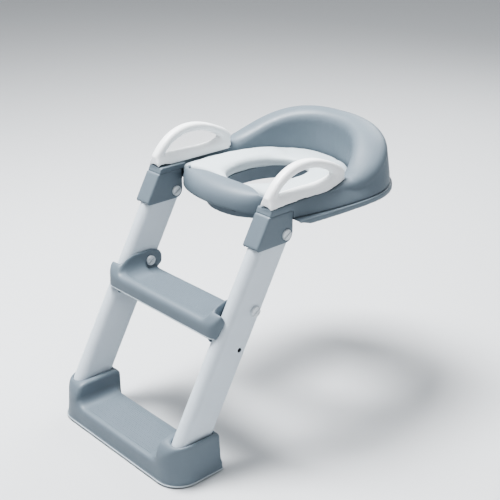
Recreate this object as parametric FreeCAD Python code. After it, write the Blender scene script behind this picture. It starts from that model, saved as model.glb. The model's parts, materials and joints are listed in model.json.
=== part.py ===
import FreeCAD, Part
import math
import os
from FreeCAD import Vector
os.makedirs("parts", exist_ok=True)

# Toddler toilet seat with a folding step ladder, in millimetres.
# X runs across the seat, -Y points to the front where the child climbs, +Z is up.
# The shapes are drawn with y = 0 on the hinge axis and z = 0 on the floor. They are
# moved along Y when they are written, so the origin is under the middle of the object.

# ---- driving dimensions -------------------------------------------------------------
# seat
rim_height = 400.0           # top of the toilet rim, where the seat's pads rest
pad_drop = 2.0               # the pads stand this far below the seat frame
frame_height = 10.0          # seat frame, from its lower edge to the ledge line
seat_half_width = 189.0      # widest half width of the seat frame
seat_wide_y = 165.0          # where the seat is widest
seat_rear_y = 328.0          # rear end of the seat frame
seat_roundness = 2.5         # exponent of the rear outline, 2 is an ellipse
arm_half_width = 165.0       # half width of the seat frame at its front end
arm_front_y = -34.0          # front end of the seat's arms
ledge = 4.0                  # the upper shell stands in from the frame by this much
arm_inner_half = 131.0       # inner face of the arms at their front end
arm_top_z = 440.0            # top of the arms, under the handles
back_rise = 71.5             # the back rim stands this far above the arms
back_rise_start_y = 139.0    # where the rim begins to rise
back_rise_reach = 272.0      # length of the rising curve, longer than the seat has room for
arm_front_lean = 2.0         # the outer wall leans in by this much at the arms' ends,
arm_lean = 18.0              # beside the handles,
rim_wall_lean = 7.0          # and round the back
lean_arm_y = 100.0           # where the arms lean in the most
lean_back_y = 200.0          # where the back's lean begins
rim_crest_width = 50.0       # greatest width of the rounded rim, round the back
rim_inner_lean = 2.5         # least lean of the inner wall
rim_shoulder = 11.0          # height of the rim's rounded shoulders
# the rim's top, as shares of its width and of its shoulder's height
rim_curve = [(0.0, 1.0), (0.07, 0.42), (0.20, 0.10), (0.50, 0.0),
             (0.80, 0.10), (0.93, 0.42), (1.0, 1.0)]
shell_wall = 3.0

# cushion and bowl opening
pocket_half_width = 137.5    # hollow that holds the cushion
pocket_mid_y = 88.0
pocket_rear_len = 179.5      # from its middle to its rear end
pocket_roundness = 2.25
cushion_gap = 1.2
cushion_height = 18.4
cushion_front_y = 18.0
hole_half_width = 58.0       # hole in the cushion
hole_half_len = 84.0
hole_mid_y = 112.0
skirt_outset = 6.0           # splash skirt, outside the cushion's hole
skirt_drop = 24.0            # splash skirt, below the seat deck
collar_half_width = 100.0    # collar that locates the seat in the bowl
collar_half_len = 121.0
collar_mid_y = 117.0
collar_drop = 18.0           # collar, below the rim

# front guard
guard_half_width = 132.0
guard_depth = 68.0           # half length of its elliptical front
guard_centre_y = 40.0
guard_rear_y = 14.0
guard_top_z = 442.0
guard_wall = 3.0

# hinge brackets
hinge_z = 387.0
leg_centre_x = 145.0
bracket_wall = 3.6
bracket_front_wall = 3.2
bracket_top_z = 427.0
bracket_bottom_z = 373.0
bracket_rear_y = 15.5

# legs
leg_angle = 60.5             # from the floor
leg_depth = 65.0
leg_width = 29.0
leg_wall = 2.6
leg_rear = 15.0              # hinge axis to the rear face
leg_rear_radius = 6.0
leg_end_z = 52.0
leg_side_gap = 0.4
leg_front_gap = 0.3
leg_top_gap = 1.0

# bolts
bolt_r = 4.0
bolt_head_r = 9.5
bolt_head_t = 4.4
bolt_recess = 1.6
bolt_ring = 1.4              # open ring round a bolt's head in its recess
slot_w = 2.0
slot_depth = 1.4
nut_stub_r = 2.6
run_gap = 0.06               # radial clearance of a turning bolt
fit_gap = 0.05
bush_r = 7.5
step_pin_reach = 137.5       # hinge axis to the step bolt, along the leg
spare_hole_step = 70.0       # step bolt to the spare hole below it

# middle step
step_deck_z = 252.0
step_rim_z = 263.0
step_bottom_z = 236.0
step_front_y = -150.0
step_rim_back_y = -128.0
step_rear_y = -54.0
step_half_width = 154.0
step_corner_r = 22.0
step_wall = 3.0
ear_wall = 5.0
ear_top_z = 290.0
ear_rear_y = -38.0
step_leg_gap = 0.4
# the bank between the deck and an ear: distances from the ear and above the deck
ear_bank = [(-1.0, -2.0), (24.0, -2.0), (24.0, 0.0), (15.0, 4.0), (8.0, 10.0), (3.0, 19.0),
            (0.0, 30.0), (-1.0, 30.0)]
ear_fillet = [(-1.0, -2.0), (13.0, -2.0), (13.0, 0.0), (6.0, 1.4), (1.6, 3.6), (0.0, 5.2),
              (-1.0, 5.2)]

# bottom step
foot_half_width = 172.0
foot_front_y = -257.0
foot_deck_rear_y = -163.0
foot_rear_y = -153.0
foot_deck_z = 35.0
foot_block_z = 75.0
foot_block_inner_x = 115.0
foot_corner_r = 42.0
foot_draft = 5.0             # the skirt spreads by this much towards the floor
foot_wall = 3.0
foot_lip = 2.0
foot_lip_height = 3.0
foot_pad_drop = 1.5
foot_pad_inset = 24.0        # rear wall to the middle of the rear pads
tenon_half_x = 10.0
tenon_half_y = 20.0
socket_floor_z = 12.0

# screws
screw_r = 1.9
screw_head_r = 3.9
screw_head_t = 2.4
screw_gap = 0.3
boss_r = 4.8

# ---- derived places -----------------------------------------------------------------
frame_bottom_z = rim_height + pad_drop
ledge_z = frame_bottom_z + frame_height
deck_z = ledge_z + shell_wall
angle = math.radians(leg_angle)
down = Vector(0, -math.cos(angle), -math.sin(angle))
forward = Vector(0, -math.sin(angle), math.cos(angle))
hinge = Vector(0, 0, hinge_z)
step_pin = hinge + down * step_pin_reach
spare_hole = step_pin + down * spare_hole_step
leg_front = leg_depth - leg_rear
leg_in_x = leg_centre_x - leg_width / 2
leg_out_x = leg_centre_x + leg_width / 2
bracket_in_x = leg_in_x - leg_side_gap - bracket_wall
bracket_out_x = leg_out_x + leg_side_gap + bracket_wall
pocket_top_z = bracket_top_z - bracket_front_wall
ear_out_x = leg_in_x - step_leg_gap
ear_in_x = ear_out_x - ear_wall
step_shell_z = step_deck_z - step_wall
far = 600.0


# ---- building blocks ----------------------------------------------------------------
def box(x0, x1, y0, y1, z0, z1):
    return Part.makeBox(x1 - x0, y1 - y0, z1 - z0, Vector(x0, y0, z0))


def cyl_z(x, y, z0, z1, r):
    return Part.makeCylinder(r, z1 - z0, Vector(x, y, z0))


def cyl_x(x0, x1, centre, r):
    return Part.makeCylinder(r, x1 - x0, Vector(x0, centre.y, centre.z), Vector(1, 0, 0))


def prism_x(points, x0, x1):
    """A side profile of (y, z) points, from x0 to x1."""
    corners = [Vector(x0, y, z) for y, z in points]
    face = Part.Face(Part.makePolygon(corners + corners[:1]))
    return face.extrude(Vector(x1 - x0, 0, 0))


def smooth(t):
    t = min(1.0, max(0.0, t))
    return t * t * (3 - 2 * t)


def spline(points):
    curve = Part.BSplineCurve()
    curve.interpolate(points)
    return curve.toShape()


def mirrored(shape):
    return shape.mirror(Vector(0, 0, 0), Vector(1, 0, 0))


def joined(shapes):
    return shapes[0].fuse(shapes[1:]).removeSplitter()


def solid_of(shape):
    """The one solid of a boolean's result."""
    shape = shape.removeSplitter()
    if len(shape.Solids) != 1:
        raise ValueError("expected one solid, found %d" % len(shape.Solids))
    return shape.Solids[0]


def super_oval(half_x, half_y, mid_y, power, z):
    """A closed oval wire between an ellipse (power 2) and a rectangle."""
    points = []
    for i in range(32):
        t = 2 * math.pi * i / 32
        c, s = math.cos(t), math.sin(t)
        x = half_x * math.copysign(abs(c) ** (2 / power), c)
        y = half_y * math.copysign(abs(s) ** (2 / power), s)
        points.append(Vector(x, mid_y + y, z))
    curve = Part.BSplineCurve()
    curve.interpolate(Points=points, PeriodicFlag=True)
    return Part.Wire([curve.toShape()])


def oval_prism(half_x, half_y, mid_y, power, z0, z1):
    face = Part.Face(super_oval(half_x, half_y, mid_y, power, z0))
    return face.extrude(Vector(0, 0, z1 - z0))


def rounded_plate(half_x, y0, y1, front_r, rear_r, z0, z1):
    """A plate that is symmetric in X, with round front and rear corners."""
    def corner(cx, cy, r, a0, a1):
        mid = math.radians((a0 + a1) / 2)
        start = math.radians(a0)
        end = math.radians(a1)
        places = [Vector(cx + r * math.cos(a), cy + r * math.sin(a), z0)
                  for a in (start, mid, end)]
        return Part.Arc(*places).toShape()

    arcs = [corner(half_x - front_r, y0 + front_r, front_r, -90, 0),
            corner(half_x - rear_r, y1 - rear_r, rear_r, 0, 90),
            corner(-half_x + rear_r, y1 - rear_r, rear_r, 90, 180),
            corner(-half_x + front_r, y0 + front_r, front_r, 180, 270)]
    edges = []
    for i, arc in enumerate(arcs):
        after = arcs[(i + 1) % 4]
        edges.append(arc)
        edges.append(Part.makeLine(arc.Vertexes[-1].Point, after.Vertexes[0].Point))
    face = Part.Face(Part.Wire(edges))
    return face.extrude(Vector(0, 0, z1 - z0))


# ---- seat outline and rim -----------------------------------------------------------
def flange_half(y):
    """Half width of the seat frame along its arms."""
    reach = seat_wide_y - (arm_front_y - 6.0)
    t = min(1.0, max(0.0, (y - (arm_front_y - 6.0)) / reach))
    return arm_half_width + (seat_half_width - arm_half_width) * math.sin(t * math.pi / 2)


def outer_point(kind, value, inset):
    """A point of the seat's outline: along the arm by y, or round the rear by angle."""
    if kind == "arm":
        return flange_half(value) - inset, value
    c, s = math.cos(math.radians(value)), math.sin(math.radians(value))
    power = 2 / seat_roundness
    x = (seat_half_width - inset) * max(0.0, c) ** power
    return x, seat_wide_y + (seat_rear_y - inset - seat_wide_y) * s ** power


def inner_point(x, y):
    """The point of the cushion pocket's outline that faces an outline point."""
    if y <= pocket_mid_y:
        blend = smooth(y / (pocket_mid_y - 30.0))
        return arm_inner_half + (pocket_half_width - arm_inner_half) * blend, y
    dx, dy = x, y - pocket_mid_y
    n = pocket_roundness
    scale = (abs(dx / pocket_half_width) ** n + abs(dy / pocket_rear_len) ** n) ** (-1 / n)
    return dx * scale, pocket_mid_y + dy * scale


arm_stations = [("arm", arm_front_y), ("arm", 0.0), ("arm", 44.0), ("arm", 88.0),
                ("arm", 128.0)]
rear_stations = [("rear", a) for a in (1.0, 18.0, 36.0, 54.0, 72.0)]


def seat_prism(inset, z0, z1):
    """The seat's outline as a plate that runs forward past the arms."""
    side = [outer_point("arm", y, inset) for y in (-80.0, arm_front_y, 10.0, 60.0, 115.0)]
    side += [outer_point(*station, inset) for station in rear_stations]
    right = [Vector(x, y, z0) for x, y in side]
    left = [Vector(-p.x, p.y, p.z) for p in reversed(right)]
    rear = Vector(0, seat_rear_y - inset, z0)
    edge = spline(right + [rear] + left)
    front = Part.makeLine(left[-1], right[0])
    face = Part.Face(Part.Wire([edge, front]))
    return face.extrude(Vector(0, 0, z1 - z0))


def pocket_prism(outset, z0, z1):
    """The outline that holds the cushion, open to the front."""
    n = pocket_roundness
    side = [(pocket_half_width + outset, y) for y in (-80.0, 0.0, 50.0)]
    for a in (1.0, 18.0, 36.0, 54.0, 72.0):
        c, s = math.cos(math.radians(a)), math.sin(math.radians(a))
        side.append(((pocket_half_width + outset) * c ** (2 / n),
                     pocket_mid_y + (pocket_rear_len + outset) * s ** (2 / n)))
    right = [Vector(x, y, z0) for x, y in side]
    left = [Vector(-p.x, p.y, p.z) for p in reversed(right)]
    rear = Vector(0, pocket_mid_y + pocket_rear_len + outset, z0)
    edge = spline(right + [rear] + left)
    front = Part.makeLine(left[-1], right[0])
    face = Part.Face(Part.Wire([edge, front]))
    return face.extrude(Vector(0, 0, z1 - z0))


def crest_z(y):
    """Height of the rim along the seat."""
    lift = 8.0 * smooth((y - 110.0) / 45.0)
    share = smooth((y - back_rise_start_y) / back_rise_reach)
    full = smooth((seat_rear_y - ledge - back_rise_start_y) / back_rise_reach)
    return arm_top_z + lift + (back_rise - 8.0) * share / full


def wall_lean(y):
    """How far the outer wall leans in at a place along the seat."""
    front = arm_front_lean + (arm_lean - arm_front_lean) * smooth(y / lean_arm_y)
    share = smooth((y - lean_arm_y) / (lean_back_y - lean_arm_y))
    return front + (rim_wall_lean - front) * share


def rim_span(x, y):
    """The way across the rim at an outline point: direction, length, lean and crest."""
    inner_x, inner_y = inner_point(x, y)
    span = math.hypot(x - inner_x, y - inner_y)
    lean = wall_lean(y)
    crest = min(rim_crest_width, span - rim_inner_lean - lean)
    return (inner_x - x) / span, (inner_y - y) / span, span, lean, crest


def crest_place(y):
    """The middle of the crest on the right arm."""
    x = flange_half(y) - ledge
    ux, uy, _, lean, crest = rim_span(x, y)
    return x + ux * (lean + crest / 2), y + uy * (lean + crest / 2)


def rim_section(x, y, z_bottom, inset):
    """A closed section of the rim, from the outer wall over the crest to the pocket."""
    ux, uy, span, lean, crest = rim_span(x, y)
    top = crest_z(y) - inset
    crest -= 2 * inset
    start = lean + inset
    drop = min(0.40 * crest, rim_shoulder)

    def at(s, z):
        return Vector(x + ux * s, y + uy * s, z)

    over = [at(start + share * crest, top - fall * drop) for share, fall in rim_curve]
    low_out = at(inset, z_bottom)
    low_in = at(span - inset, z_bottom)
    edges = [Part.makeLine(low_out, over[0]), spline(over),
             Part.makeLine(over[-1], low_in), Part.makeLine(low_in, low_out)]
    return Part.Wire(edges)


def rim_loft(z_bottom, inset):
    """The rim as a solid along the whole horseshoe, or its hollow when inset."""
    stations = arm_stations + rear_stations
    side = [list(outer_point(kind, value, ledge)) for kind, value in stations]
    side[0][1] += inset
    wires = []
    for x, y in side:
        wires.append(rim_section(x, y, z_bottom, inset))
    wires.append(rim_section(0.0, seat_rear_y - ledge, z_bottom, inset))
    for x, y in reversed(side):
        wires.append(mirrored(rim_section(x, y, z_bottom, inset)))
    return Part.makeLoft(wires, True, False)


rim_solid = rim_loft(ledge_z, 0.0)
rim_hollow = rim_loft(ledge_z - 1.0, shell_wall)

# places of the seat screws, in the rim's hollow
boss_stations = [("arm", 40.0), ("arm", 128.0), ("rear", 58.0)]


def boss_place(kind, value):
    """A boss's place in the middle of the rim, and the height of the rim there."""
    x, y = outer_point(kind, value, ledge)
    inner_x, inner_y = inner_point(x, y)
    return x + 0.5 * (inner_x - x), y + 0.5 * (inner_y - y), crest_z(y)


boss_tops = [boss_place(*station) for station in boss_stations]
boss_tops += [(-x, y, z) for x, y, z in boss_tops]
boss_places = [(x, y) for x, y, _ in boss_tops]
handle_x = leg_centre_x + 3.0
handle_half = 13.0
handle_low_z = arm_top_z - 6.0       # the handle's skirt hangs over the arm's rounded top
handle_screw_places = [crest_place(-12.0), crest_place(104.0)]
handle_screw_places += [(-x, y) for x, y in handle_screw_places]
handle_boss_z = arm_top_z - 8.0
bracket_screw_places = [(leg_centre_x, bracket_rear_y - 6.0), (-leg_centre_x, bracket_rear_y - 6.0)]
rib_z = hinge_z + leg_rear + 2.0     # underside of the rib behind each leg's end
guard_screw_places = [(70.0, 2.0), (-70.0, 2.0)]


# ---- seat ---------------------------------------------------------------------------
def seat_shell():
    """The upper moulding: two arms and the raised back, hollow and open below."""
    shape = rim_solid.cut(rim_hollow)
    bosses = []
    for x, y, top in boss_tops:
        bosses.append(cyl_z(x, y, ledge_z, top - shell_wall + 1.0, boss_r))
    for x, y in handle_screw_places:
        bosses.append(cyl_z(x, y, handle_boss_z, arm_top_z - shell_wall + 1.0, boss_r))
    for x, y in bracket_screw_places:
        bosses.append(cyl_z(x, y, bracket_top_z, arm_top_z - shell_wall + 1.0, boss_r))
    shape = joined([shape] + bosses)
    for side in (1, -1):
        low, high = sorted((side * (bracket_in_x - 3.0), side * (bracket_out_x + 3.0)))
        shape = shape.cut(box(low, high, -far, bracket_rear_y, 0, bracket_top_z))
    for x, y in boss_places:
        shape = shape.cut(cyl_z(x, y, ledge_z - 1, ledge_z + 16.0, screw_r + fit_gap))
    for x, y in bracket_screw_places:
        shape = shape.cut(cyl_z(x, y, 0, arm_top_z - 4.0, screw_r + fit_gap))
    for x, y in handle_screw_places:
        shape = shape.cut(cyl_z(x, y, bracket_top_z, far, screw_r + screw_gap))
    return solid_of(shape)


def seat_pan():
    """The floor under the cushion, with a splash skirt round its opening."""
    deck = pocket_prism(0.0, ledge_z, deck_z)
    deck = deck.common(box(-far, far, guard_rear_y + 1.5, far, 0, far))
    skirt = oval_prism(hole_half_width + skirt_outset + shell_wall,
                       hole_half_len + skirt_outset + shell_wall,
                       hole_mid_y, 2.2, deck_z - skirt_drop, deck_z)
    skirt = skirt.common(box(-far, far, guard_rear_y + 1.5, far, 0, far))
    opening = oval_prism(hole_half_width + skirt_outset, hole_half_len + skirt_outset,
                         hole_mid_y, 2.2, 0, deck_z + 1)
    opening = opening.common(box(-far, far, guard_rear_y + 1.5 + shell_wall, far, 0, far))
    shape = joined([deck, skirt]).cut(opening).cut(rim_solid)
    for side in (1, -1):
        low, high = sorted((side * (bracket_in_x - 0.2), side * far))
        shape = shape.cut(box(low, high, -far, bracket_rear_y + 0.2, 0, far))
    return solid_of(shape)


def bracket_profile(grow):
    """Side profile of a bracket, which slants with the leg."""
    front = leg_front + leg_front_gap + grow
    slope = math.cos(angle) / math.sin(angle)

    def front_y(z):
        return (z - hinge_z) * slope - front / math.sin(angle)

    points = [(front_y(bracket_bottom_z) + 5.0, bracket_bottom_z - 1.0),
              (front_y(bracket_bottom_z + 5.0), bracket_bottom_z + 5.0),
              (front_y(bracket_top_z), bracket_top_z), (bracket_rear_y, bracket_top_z)]
    for a in range(0, 91, 15):
        t = math.radians(a)
        points.append((bracket_rear_y * math.cos(t), hinge_z - bracket_rear_y * math.sin(t)))
    return points


def bracket():
    """The right bracket: two cheeks, a front wall and a top, open below and behind."""
    shape = prism_x(bracket_profile(bracket_front_wall), bracket_in_x, bracket_out_x)
    slope = math.cos(angle) / math.sin(angle)
    front = (leg_front + leg_front_gap) / math.sin(angle)
    hollow = [((bracket_bottom_z - 20 - hinge_z) * slope - front, bracket_bottom_z - 20),
              ((pocket_top_z - hinge_z) * slope - front, pocket_top_z),
              (-11.0, pocket_top_z), (2.0, rib_z), (bracket_rear_y + 1, rib_z),
              (bracket_rear_y + 1, bracket_bottom_z - 20)]
    shape = shape.cut(prism_x(hollow, leg_in_x - leg_side_gap, leg_out_x + leg_side_gap))
    shape = shape.cut(cyl_x(0, far, hinge, bolt_r + fit_gap))
    for x0, x1 in ((bracket_out_x - bolt_recess, far), (0, bracket_in_x + bolt_recess)):
        shape = shape.cut(cyl_x(x0, x1, hinge, bolt_head_r + bolt_ring))
    x, y = bracket_screw_places[0]
    shape = shape.cut(cyl_z(x, y, 0, rib_z + screw_head_t + 0.6, screw_head_r + 0.4))
    shape = shape.cut(cyl_z(x, y, 0, far, screw_r + screw_gap))
    return solid_of(shape)


def seat_base_frame():
    """The lower frame: a flange with the collar that drops into the bowl."""
    plate = seat_prism(0.0, frame_bottom_z, ledge_z)
    plate = plate.cut(seat_prism(shell_wall, frame_bottom_z - 1, ledge_z - shell_wall))
    plate = plate.common(box(-far, far, bracket_rear_y, far, 0, far))
    lobe = oval_prism(guard_half_width - guard_wall - 0.8, guard_depth - guard_wall - 0.8,
                      guard_centre_y, 2.0, ledge_z - shell_wall, ledge_z)
    lobe = lobe.common(box(-bracket_in_x + 0.2, bracket_in_x - 0.2, -far, guard_centre_y, 0, far))
    collar = oval_prism(collar_half_width, collar_half_len, collar_mid_y, 2.2,
                        rim_height - collar_drop, ledge_z)
    bowl = oval_prism(collar_half_width - shell_wall, collar_half_len - shell_wall,
                      collar_mid_y, 2.2, 0, ledge_z + 1)
    shape = joined([plate, lobe, collar])
    shape = shape.cut(bowl)
    for x, y in boss_places + guard_screw_places:
        shape = shape.cut(cyl_z(x, y, frame_bottom_z, ledge_z + 1, screw_r + screw_gap))
    return solid_of(shape)


def guard_section(z, shrink, lift):
    """A D-shaped section of the guard: an elliptical front and a straight back."""
    half_x = guard_half_width - shrink
    half_y = guard_depth - shrink - lift
    reach = math.acos((guard_centre_y - guard_rear_y) / half_y)
    points = []
    for i in range(-4, 5):
        t = reach * i / 4
        points.append(Vector(half_x * math.sin(t), guard_centre_y - half_y * math.cos(t), z))
    edge = spline(points)
    return Part.Wire([edge, Part.makeLine(points[-1], points[0])])


def guard_loft(inset, z_low):
    top = guard_top_z - inset
    span = top - frame_bottom_z
    wires = []
    for share, lift in ((0.0, 0.0), (0.35, 1.5), (0.65, 6.0), (0.86, 13.0), (1.0, 25.0)):
        z = frame_bottom_z + 1.0 + span * share
        wires.append(guard_section(z if share else z_low, inset, lift))
    return Part.makeLoft(wires, True, False)


def front_guard():
    """The splash guard, a hollow rounded moulding with two screw bosses."""
    shape = guard_loft(0.0, frame_bottom_z + 1.0)
    hollow = guard_loft(guard_wall, frame_bottom_z)
    hollow = hollow.common(box(-far, far, -far, guard_rear_y - guard_wall, 0, far))
    shape = shape.cut(hollow)
    bosses = []
    for x, y in guard_screw_places:
        bosses.append(cyl_z(x, y, ledge_z, ledge_z + 14.0, boss_r))
    web = [box(x - 1.5, x + 1.5, y, guard_rear_y - 1.0, ledge_z, ledge_z + 14.0)
           for x, y in guard_screw_places]
    shape = joined([shape] + bosses + web)
    for x, y in guard_screw_places:
        shape = shape.cut(cyl_z(x, y, 0, ledge_z + 12.0, screw_r + fit_gap))
    lobe_room = box(-far, far, guard_rear_y - guard_wall - 1, far, 0, ledge_z)
    shape = shape.cut(lobe_room)
    return solid_of(shape)


def seat_cushion():
    """The soft pad as one plain solid, open to the front."""
    pad = pocket_prism(-cushion_gap, deck_z, deck_z + cushion_height)
    hole = oval_prism(hole_half_width, hole_half_len, hole_mid_y, 2.2,
                      deck_z - 1, deck_z + cushion_height + 1)
    shape = pad.cut(hole)
    shape = shape.cut(box(-far, far, -far, cushion_front_y, 0, far))
    return solid_of(shape.cut(rim_solid))


def handle():
    """The right handle: a loop that sits on the arm, with a finger opening."""
    outline = [(-34.0, 455.0), (-21.0, 471.0), (3.0, 490.0), (38.0, 501.0), (75.0, 499.0),
               (109.0, 488.0), (135.0, 475.0), (149.0, 461.0), (146.0, 449.0)]
    points = [Vector(0, y, z) for y, z in outline]
    low = handle_low_z - 2.0
    edge = spline(points)
    ends = [points[-1], Vector(0, 140.0, low), Vector(0, arm_front_y, low), points[0]]
    lines = [Part.makeLine(ends[i], ends[i + 1]) for i in range(3)]
    face = Part.Face(Part.Wire([edge] + lines))
    shape = face.extrude(Vector(2 * handle_half, 0, 0))
    opening = [(-11.0, 459.0), (5.0, 472.0), (27.0, 482.0), (53.0, 485.5), (79.0, 482.5),
               (104.0, 473.0), (120.0, 462.0), (104.0, 456.5), (50.0, 455.5), (4.0, 455.5)]
    curve = Part.BSplineCurve()
    curve.interpolate(Points=[Vector(-1, y, z) for y, z in opening], PeriodicFlag=True)
    hole = Part.Face(Part.Wire([curve.toShape()])).extrude(Vector(2 * handle_half + 2, 0, 0))
    shape = shape.cut(hole)
    shape.translate(Vector(handle_x - handle_half, 0, 0))
    shape = shape.cut(rim_solid)
    shape = shape.common(box(0, far, -far, far, handle_low_z, far))
    for x, y in handle_screw_places[:2]:
        shape = shape.cut(cyl_z(x, y, 0, arm_top_z + 12.0, screw_r + fit_gap))
    pieces = sorted(shape.Solids, key=lambda s: s.Volume)
    return pieces[-1]


def screw(x, y, head_z, tip_z):
    head = cyl_z(x, y, head_z - screw_head_t, head_z, screw_head_r)
    return joined([head, cyl_z(x, y, head_z - 1, tip_z, screw_r)])


def screw_group(places, head_z, tip_z):
    return Part.makeCompound([screw(x, y, head_z, tip_z) for x, y in places])


def rim_pads():
    """The soft pads that stand on the toilet's rim."""
    top = ledge_z - shell_wall
    pads = []
    for x, y, half_x in ((150.0, 72.0, 9.0), (145.0, 205.0, 9.0)):
        for side in (1, -1):
            pads.append(box(side * x - half_x, side * x + half_x, y - 18, y + 18,
                            rim_height, top))
    for x in (38.0, -38.0):
        pads.append(box(x - 14, x + 14, -15.0, -5.0, rim_height, top))
    pads.append(box(-30.0, 30.0, 288.0, 304.0, rim_height, top))
    return Part.makeCompound(pads)


# ---- bolts --------------------------------------------------------------------------
def slotted_bolt(centre, x_seat, x_tip, stub):
    """A bolt along X with its slotted head outside x_seat and a stub at its tip."""
    head = cyl_x(x_seat, x_seat + bolt_head_t, centre, bolt_head_r)
    edges = [e for e in head.Edges
             if abs(e.BoundBox.XMin - x_seat - bolt_head_t) < 0.01 and e.Length > 1]
    head = head.makeFillet(1.4, edges[:1])
    shank = cyl_x(x_tip, x_seat + 0.5, centre, bolt_r)
    tip = cyl_x(x_tip - stub, x_tip + 0.5, centre, nut_stub_r)
    shape = joined([head, shank, tip])
    slot = box(x_seat + bolt_head_t - slot_depth, x_seat + bolt_head_t + 1,
               centre.y - far, centre.y + far, centre.z - slot_w / 2, centre.z + slot_w / 2)
    slot.rotate(centre, Vector(1, 0, 0), 35)
    return solid_of(shape.cut(slot))


def cap_nut(centre, x_seat, stub):
    """A slotted cap on the inner side, which takes the bolt's stub."""
    shape = cyl_x(x_seat - bolt_head_t, x_seat, centre, bolt_head_r)
    edges = [e for e in shape.Edges
             if abs(e.BoundBox.XMax - x_seat + bolt_head_t) < 0.01 and e.Length > 1]
    shape = shape.makeFillet(1.4, edges[:1])
    shape = shape.cut(cyl_x(x_seat - stub, x_seat + 1, centre, nut_stub_r + fit_gap))
    slot = box(x_seat - bolt_head_t - 1, x_seat - bolt_head_t + slot_depth,
               centre.y - far, centre.y + far, centre.z - slot_w / 2, centre.z + slot_w / 2)
    slot.rotate(centre, Vector(1, 0, 0), 35)
    return solid_of(shape.cut(slot))


def bush(centre):
    """A spacer tube between the leg's side walls, round a bolt."""
    x0, x1 = leg_in_x + leg_wall, leg_out_x - leg_wall
    return cyl_x(x0, x1, centre, bush_r).cut(cyl_x(x0 - 1, x1 + 1, centre, bolt_r + run_gap))


# ---- ladder -------------------------------------------------------------------------
def leg_bar(grow):
    """The leg's section, grown by an amount, swept along the leg."""
    half = leg_width / 2 + grow
    front = leg_front + grow
    rear = -leg_rear - grow
    round_r = half
    rear_r = max(0.5, leg_rear_radius + grow)
    start = hinge - down * 90.0

    def at(x, u):
        return start + forward * u + Vector(leg_centre_x + x, 0, 0)

    k = math.sqrt(0.5)
    nose = Part.Arc(at(half, front - round_r), at(0, front), at(-half, front - round_r))
    left = Part.Arc(at(-half, rear + rear_r), at(-half + rear_r * (1 - k), rear + rear_r * (1 - k)),
                    at(-half + rear_r, rear))
    right = Part.Arc(at(half - rear_r, rear), at(half - rear_r * (1 - k), rear + rear_r * (1 - k)),
                     at(half, rear + rear_r))
    edges = [nose.toShape(), Part.makeLine(at(-half, front - round_r), at(-half, rear + rear_r)),
             left.toShape(), Part.makeLine(at(-half + rear_r, rear), at(half - rear_r, rear)),
             right.toShape(), Part.makeLine(at(half, rear + rear_r), at(half, front - round_r))]
    return Part.Face(Part.Wire(edges)).extrude(down * 620.0)


def leg_outline():
    """Side profile that trims the leg: round about the hinge above, level below."""
    top = pocket_top_z - leg_top_gap
    rear = hinge + forward * -leg_rear
    outline = [(rear.y, rear.z)]
    for a in range(0, 91, 15):
        t = math.radians(a)
        outline.append((leg_rear * math.cos(t), hinge_z + leg_rear * math.sin(t)))
    outline.append((-14.0, top))
    turn = math.asin((top - hinge_z) / leg_front)
    tangent = math.radians(90 - leg_angle)
    for i in range(5):
        t = turn + (tangent - turn) * i / 4
        outline.append((-leg_front * math.cos(t), hinge_z + leg_front * math.sin(t)))
    slope = math.cos(angle) / math.sin(angle)
    for side in (leg_front + 8.0, -leg_rear - 8.0):
        outline.append(((leg_end_z - hinge_z) * slope - side / math.sin(angle), leg_end_z))
    edge = hinge + forward * -(leg_rear + 8.0)
    outline.append((edge.y, edge.z))
    return outline


def leg():
    """The right leg, a hollow bar with its two bolt holes and the spare hole."""
    shape = leg_bar(0.0).cut(leg_bar(-leg_wall))
    shape = shape.common(prism_x(leg_outline(), 0, far))
    for centre in (hinge, step_pin, spare_hole):
        shape = shape.cut(cyl_x(0, far, centre, bolt_r + run_gap))
    return solid_of(shape)


tenon_y = (hinge + down * ((hinge_z - leg_end_z) / math.sin(angle))).y - 17.0


def leg_plug():
    """A plug in the leg's lower end, with a tenon that stands on the socket's floor."""
    shape = leg_bar(-leg_wall - fit_gap).common(box(0, far, -far, far, leg_end_z, leg_end_z + 16))
    tenon = box(leg_centre_x - tenon_half_x, leg_centre_x + tenon_half_x,
                tenon_y - tenon_half_y, tenon_y + tenon_half_y,
                socket_floor_z + foot_wall, leg_end_z + 1)
    shape = joined([shape, tenon])
    for dy in (-11.0, 11.0):
        shape = shape.cut(cyl_z(leg_centre_x, tenon_y + dy, 0, socket_floor_z + 18,
                                screw_r + fit_gap))
    return solid_of(shape)


def foot_profile(inset):
    """Side profile of an end block, which rises towards the leg."""
    y0 = foot_front_y + inset
    y1 = foot_rear_y - inset
    top = foot_block_z - inset
    return [(y0 - 20, -1), (y0 - 20, 40.0 - inset), (y0 + 2, 47.0 - inset),
            (y0 + 5, 58.0 - inset), (y0 + 12, top - 6), (y0 + 22, top - 1), (y0 + 36, top),
            (y1 - 18, top), (y1 - 6, top - 4), (y1 + 20, top - 8), (y1 + 20, -1)]


def foot_form(inset, z_low):
    """The bottom step's outer form, or its hollow when inset."""
    half_x = foot_half_width - inset
    spread = foot_draft
    low = rounded_wire(half_x, foot_front_y + inset, foot_rear_y - inset, foot_corner_r, z_low)
    high = rounded_wire(half_x - spread, foot_front_y + spread + inset,
                        foot_rear_y - inset, foot_corner_r, foot_block_z + 20)
    body = Part.makeLoft([low, high], True, True)
    inner = foot_block_inner_x + inset
    middle = [(foot_front_y - 40, -1), (foot_front_y - 40, foot_deck_z - inset),
              (foot_deck_rear_y - inset, foot_deck_z - inset), (foot_deck_rear_y - inset, -1)]
    ends = [prism_x(foot_profile(inset), inner, far), prism_x(foot_profile(inset), -far, -inner)]
    keep = joined([prism_x(middle, -far, far)] + ends)
    return body.common(keep)


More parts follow.
